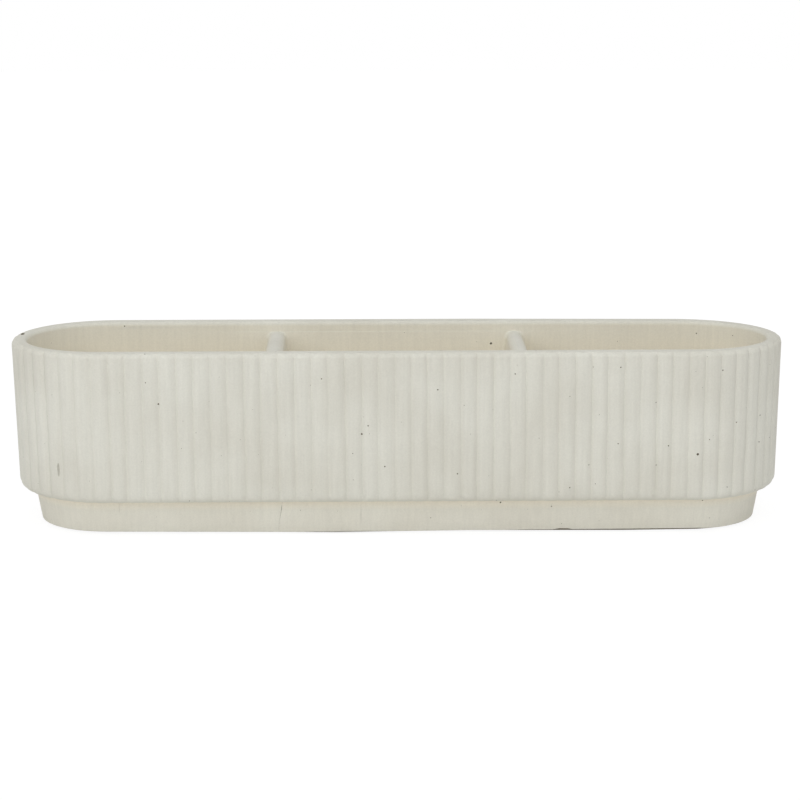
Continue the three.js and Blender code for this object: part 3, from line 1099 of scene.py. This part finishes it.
    def flaws(self, casting: Object) -> Object:
        """Makes the spaces of the holes, chips and cracks that stand out.

        Args:
            casting: the casting without them.

        Returns:
            Their balls and wedges, as one object.
        """
        surface = BVHTree.FromObject(casting, bpy.context.evaluated_depsgraph_get())
        work = bmesh.new()
        shade_and_stain_layer = work.faces.layers.float.new("hole")
        for flaw in FLAWS:
            high, deep = flaw.high or flaw.wide, flaw.deep or flaw.wide
            sizes = (flaw.wide, high, deep) if flaw.look is Look.DOWN else (flaw.wide, deep, high)
            place = Matrix.Translation(self.seen(surface, flaw.look, flaw.across, flaw.up) * MM)
            stretch = Matrix.Diagonal((*(size * MM for size in sizes), 1))
            ball = bmesh.ops.create_icosphere(work, subdivisions=3, radius=1.0, matrix=place @ stretch)
            for corner in ball["verts"]:
                for face in corner.link_faces:
                    face[shade_and_stain_layer] = flaw.shade_and_stain
        for crack in CRACKS:
            rings = []
            for x, z, width in crack.points:
                y = self.seen(surface, Look.FRONT, x, z).y
                left, right = x - width / 2, x + width / 2
                rings.append([(left, y, z), (x, y + crack.deep, z), (right, y, z), (x, y - 1, z)])
            add_wedge(work, rings, crack.shade_and_stain)
        radius = self.foot_half(self.base + self.foot_rounding)
        for shadow_undercut in SHADOW_UNDERCUTS:
            rings = []
            for x, height in shadow_undercut.points:
                y = -math.sqrt(radius**2 - max(abs(x) - self.straight_half, 0) ** 2)
                high = self.base + self.edge_rise(x) + height
                front, back = y - OVERSHOOT, y + shadow_undercut.deep
                rings.append([(x, front, -1), (x, front, high), (x, back, high), (x, back, -1)])
            add_wedge(work, rings, shadow_undercut.shade_and_stain)
        mesh = bpy.data.meshes.new("flaws")
        work.to_mesh(mesh)
        work.free()
        return linked("flaws", mesh)

    def beyond(self, x: Any) -> Any:
        """How far a place lies past the middles of the inside's round ends, along the planter."""
        return np.maximum(np.abs(x) - self.straight_half - self.end_reach, 0)

    def paint_warm_light(self, casting: Object) -> None:
        """Notes on each point of the casting its share of painted warm light: a lighter, warmer tint that
        stands in for bounce light, growing deeper inside the compartments and lying on the foot under the
        wall's lip.
        """
        mesh = casting.data
        places, facing = np.empty((2, len(mesh.vertices) * 3))
        mesh.vertices.foreach_get("co", places)
        mesh.vertices.foreach_get("normal", facing)
        x, y, z = places.reshape(-1, 3).T / MM
        up = np.clip(facing.reshape(-1, 3)[:, 2], 0, 1)
        depth = self.top - z
        inside = np.hypot(self.beyond(x), y) < self.depth / 2 - self.rim_width + self.inner_rounding + 0.5
        inside &= z > self.floor - self.drain_chamfer
        share = sum(part * np.clip(depth / full, 0, 1) for part, full in self.painted_light_depths) * inside
        # Up-facing faces near the rim get none of the painted warm light, since light falls on them
        share *= np.where(depth < self.rim_zone, 1 - up, 1)
        below = np.clip((self.underside + self.painted_light_blend - z) / self.painted_light_blend, 0, 1) * ~inside
        share = np.maximum(share, below * self.painted_light_on_foot)
        mesh.attributes.new("painted_warm_light", "FLOAT", "POINT").data.foreach_set("value", share)

    def part_rim(self, mesh: Mesh) -> None:
        """Keeps the rim's flat top evenly shaded up to where its inner rounding starts."""
        reach = self.depth / 2 - self.rim_width + self.inner_rounding + 1
        lowest = self.top - self.sag - 0.01
        work = bmesh.new()
        work.from_mesh(mesh)
        for edge in work.edges:
            x, y, z = (edge.verts[0].co + edge.verts[1].co) / 2 / MM
            if z > lowest and math.hypot(self.beyond(x), y) < reach:
                level = [face.normal.z > 0.9999 for face in edge.link_faces]
                if any(level) and not all(level):
                    edge.smooth = False
        work.to_mesh(mesh)
        work.free()

    def build(self, material: Material, pads: Sequence[tuple[float, float]]) -> Object:
        """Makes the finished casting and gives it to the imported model.

        Args:
            material: its finish.
            pads: the middle of each pad under its foot.

        Returns:
            The casting.
        """
        tools = [
            self.compartment("middle_space", self.middle_outline),
            self.compartment("right_space", lambda z: self.end_outline(z, 1)),
            self.compartment("left_space", lambda z: self.end_outline(z, -1), side=-1),
            *(self.drain(column) for column in Column),
            *(self.pocket(number, place) for number, place in enumerate(pads)),
        ]
        skin = self.skin(material)
        mark(skin.data, "hole", 0.0)
        casting = cut(skin, tools)
        self.sink(casting.data)
        casting = cut(casting, [AirHoles().build(casting, material), self.flaws(casting)])
        self.paint_warm_light(casting)
        dress(casting, material, 35)
        self.part_rim(casting.data)
        hand_over(casting, Body.CASTING, "cast_concrete", "trough")
        return casting


@dataclass
class DrainPlug:
    """A rubber plug: a crowned head on a tapered, hollow shank with two soft rings round it."""

    column: Column
    x: float
    floor: float = 20.0
    base: float = 0.7
    hole: float = 14.0
    clearance: float = 0.35
    lip: float = 5.0
    head: float = 2.6
    crown: float = 0.9
    short: float = 4.0
    taper: float = 0.9
    wall: float = 2.0
    ring_height: float = 2.4
    core: float = 0.4
    outer_bevel: float = 0.4
    inner_bevel: float = 0.3

    def profile(self) -> Outline:
        """Lists radius and height, from inside the hollow shank to the top of the head."""
        seat = self.floor + self.clearance
        end = self.base + self.short
        length = seat - end
        shank = self.hole / 2 - 2 * self.clearance
        edge = self.hole / 2 + self.lip

        def shank_at(z: float) -> float:
            """The shank's radius at a height."""
            return shank - self.taper * (seat - z) / length

        roof, outer = seat - self.wall, shank_at(end)
        inner = outer - self.wall
        bevel = self.inner_bevel
        points = [(self.core, roof), (inner, roof), (inner, end + bevel), (inner + bevel, end)]
        points += [(outer - self.outer_bevel, end), (outer, end + self.outer_bevel)]
        for share in (1 / 3, 2 / 3):
            middle = end + length * share
            for k in range(-6, 7):
                z = middle + self.ring_height * k / 12
                points.append((shank_at(z) + self.clearance * math.cos(math.pi * k / 12), z))
        points.append((shank_at(seat), seat))
        rounding, top = self.head / 4, seat + self.head
        for turn in quarter(6):
            points.append((edge - rounding * (1 - math.sin(turn)), seat + rounding * (1 - math.cos(turn))))
        for turn in quarter(6):
            points.append((edge - rounding * (1 - math.cos(turn)), top - rounding * (1 - math.sin(turn))))
        for k in range(1, 9):
            left = 1 - k / 8
            points.append((max((edge - rounding) * left, self.core), top + self.crown * (1 - left**2)))
        return points

    def build(self, material: Material) -> Object:
        """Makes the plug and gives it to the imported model."""
        side = self.column.name.lower()
        piece = turned(f"{side}_plug_dressed", self.profile(), self.x, 0)
        dress(piece, material, 40)
        hand_over(piece, Body[f"{self.column.name}_PLUG"], "plug_rubber", f"{side}_drain_plug")
        return piece


@dataclass
class FootPad:
    """A round foam pad under the foot."""

    node: str
    x: float
    y: float
    diameter: float = 16.0
    thickness: float = 1.0
    edge: float = 0.3
    core: float = 0.3

    def build(self, material: Material) -> Object:
        """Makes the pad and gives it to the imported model."""
        radius = self.diameter / 2
        profile = [(self.core, 0.0), (radius - self.edge, 0.0)]
        for turn in quarter(4)[1:]:
            profile.append((radius - self.edge * (1 - math.sin(turn)), self.edge * (1 - math.cos(turn))))
        profile += [(radius, self.thickness), (self.core, self.thickness)]
        piece = turned(self.node + "_dressed", profile, self.x, self.y, steps=48)
        dress(piece, material, 40)
        hand_over(piece, Body.CASTING, "pad_foam", self.node)
        return piece


# The studio


@dataclass
class Studio:
    """A white table in a bright white room with three soft lamps, and the camera."""

    distance: float = 1562.5
    azimuth: float = -1.0227
    elevation: float = 12.4645
    roll: float = -0.048
    target: tuple[float, float, float] = (0.0, 0.0, 63.5)
    focal_px: float = 2382.5
    shift_px: tuple[float, float] = (-2.696, 19.91)
    frame_px: float = 800.0
    sensor: float = 36.0
    white: str = "#FFFFFF"
    horizon: tuple[float, float] = (0.4, 0.6)
    low_sky: float = 0.82
    high_sky: float = 0.52
    table_half: float = 4000.0
    table_near: str = "#555555"
    table_far: str = "#000000"
    table_bounce: str = "#F2F2F2"
    table_roughness: float = 0.9
    fade: tuple[float, float] = (350.0, 1300.0)
    painted_shadow_reach: float = 0.8
    open_glow: float = 0.5
    least_glow: float = 0.41

    def floor(self) -> Object:
        """Makes the table: it shows white to the camera and keeps the planter's shadow, partly as real shadow
        in its dim base colour and partly as a painted contact shadow, where its glow dims with ambient
        occlusion near the planter.
        """
        half = self.table_half * MM
        mesh = bpy.data.meshes.new("table")
        corners = [(-half, -half, 0), (half, -half, 0), (half, half, 0), (-half, half, 0)]
        mesh.from_pydata(corners, [], [(0, 1, 2, 3)])
        table = linked("table", mesh)
        made = bpy.data.materials.new("white_table")
        tree = empty_tree(made)
        ray = add_node(tree, "ShaderNodeLightPath").outputs["Is Camera Ray"]
        place = add_node(tree, "ShaderNodeTexCoord").outputs["Object"]
        away = add_node(tree, "ShaderNodeVectorMath", [place], operation="LENGTH").outputs["Value"]
        near, beyond = (edge * MM for edge in self.fade)
        far = add_node(tree, "ShaderNodeMapRange", [away, near, beyond], interpolation_type="SMOOTHSTEP")
        # Painted contact shadow: the glow that the camera sees dims with ambient occlusion within a short
        # reach of the planter
        painted_contact_shadow = add_node(tree, "ShaderNodeAmbientOcclusion", {"Distance": self.painted_shadow_reach * MM}, samples=8)
        open_sky = painted_contact_shadow.outputs["AO"]
        glow = add_node(tree, MATH, [open_sky, self.open_glow, self.least_glow], operation="MULTIPLY_ADD")
        glow = add_node(tree, "ShaderNodeMix", {0: far, 2: glow, 3: 1.0}, data_type="FLOAT")
        glow = add_node(tree, MATH, [ray, glow], operation="MULTIPLY")
        seen = blend(tree, far, self.table_near, self.table_far)
        sockets = {
            "Base Color": blend(tree, ray, self.table_bounce, seen),
            "Roughness": self.table_roughness,
            "Emission Color": linear(self.white),
            "Emission Strength": glow,
        }
        end_material(tree, sockets)
        mesh.materials.append(made)
        return table

    def lights(self) -> None:
        """Sets the world and the lamps."""
        world = bpy.data.worlds.new("studio")
        bpy.context.scene.world = world
        tree = empty_tree(world)
        ray = add_node(tree, "ShaderNodeLightPath").outputs["Is Camera Ray"]
        way = add_node(tree, "ShaderNodeTexCoord").outputs["Generated"]
        up = add_node(tree, "ShaderNodeSeparateXYZ", [way]).outputs["Z"]
        sky = add_node(tree, "ShaderNodeMapRange", [up, *self.horizon, self.low_sky, self.high_sky])
        level = add_node(tree, MATH, [ray, sky], operation="MAXIMUM")
        light = add_node(tree, "ShaderNodeBackground", {"Color": linear(self.white), "Strength": level})
        add_node(tree, "ShaderNodeOutputWorld", [light])
        self.lamp("front", (0, -1900, 1300), 1500, 9.3)
        self.lamp("front_left", (-1300, -1500, 1000), 1000, 5.3)
        self.lamp("ceiling", (0, -300, 2200), 1500, 9.0)

    def lamp(self, name: str, place: tuple[float, float, float], size: float, power: float) -> None:
        """Hangs a square soft lamp that faces the planter.

        Args:
            name: the lamp's name.
            place: where it hangs, in millimetres.
            size: its side, in millimetres.
            power: its power in watts.
        """
        data = bpy.data.lights.new(name, "AREA")
        data.shape = "SQUARE"
        data.size = size * MM
        data.energy = power
        lamp = bpy.data.objects.new(name, data)
        lamp.location = Vector(place) * MM
        lamp.rotation_euler = (-Vector(place)).to_track_quat("-Z", "Y").to_euler()
        bpy.context.scene.collection.objects.link(lamp)

    def camera(self) -> None:
        """Sets the camera at the photograph's viewing angle."""
        azimuth, elevation = math.radians(self.azimuth), math.radians(self.elevation)
        back = Vector(
            (
                math.cos(elevation) * math.sin(azimuth),
                -math.cos(elevation) * math.cos(azimuth),
                math.sin(elevation),
            )
        )
        data = bpy.data.cameras.new("camera")
        data.sensor_width = self.sensor
        data.lens = self.focal_px * self.sensor / self.frame_px
        data.shift_x = -self.shift_px[0] / self.frame_px
        data.shift_y = self.shift_px[1] / self.frame_px
        data.clip_start, data.clip_end = 0.05, 50
        view = bpy.data.objects.new("camera", data)
        turn = (-back).to_track_quat("-Z", "Y").to_matrix().to_4x4()
        view.matrix_world = (
            Matrix.Translation((Vector(self.target) + back * self.distance) * MM)
            @ turn
            @ Matrix.Rotation(math.radians(self.roll), 4, "Z")
        )
        bpy.context.scene.collection.objects.link(view)
        bpy.context.scene.camera = view

    def build(self) -> None:
        """Makes the table, the lights and the camera."""
        self.floor()
        self.lights()
        self.camera()
        bpy.context.scene.view_settings.view_transform = "Standard"


def main() -> None:
    """Builds the planter and the studio."""
    logging.basicConfig(level=logging.INFO, format="%(message)s")
    concrete = CastConcrete().material()
    rubber = MouldedRubber().material()
    foam = ClosedCellFoam().material()
    pads = []
    for row in Row:
        for column in Column:
            node = f"{row.name.lower()}_{column.name.lower()}_pad"
            low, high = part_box(node)
            centre = (low + high) / 2 / MM
            pads.append(FootPad(node, centre.x, centre.y))
    casting = Casting()
    casting.build(concrete, [(pad.x, pad.y) for pad in pads])
    for column in Column:
        DrainPlug(column, column.value * casting.end_drain).build(rubber)
    for pad in pads:
        pad.build(foam)
    Studio().build()


if __name__ == "__main__":
    main()
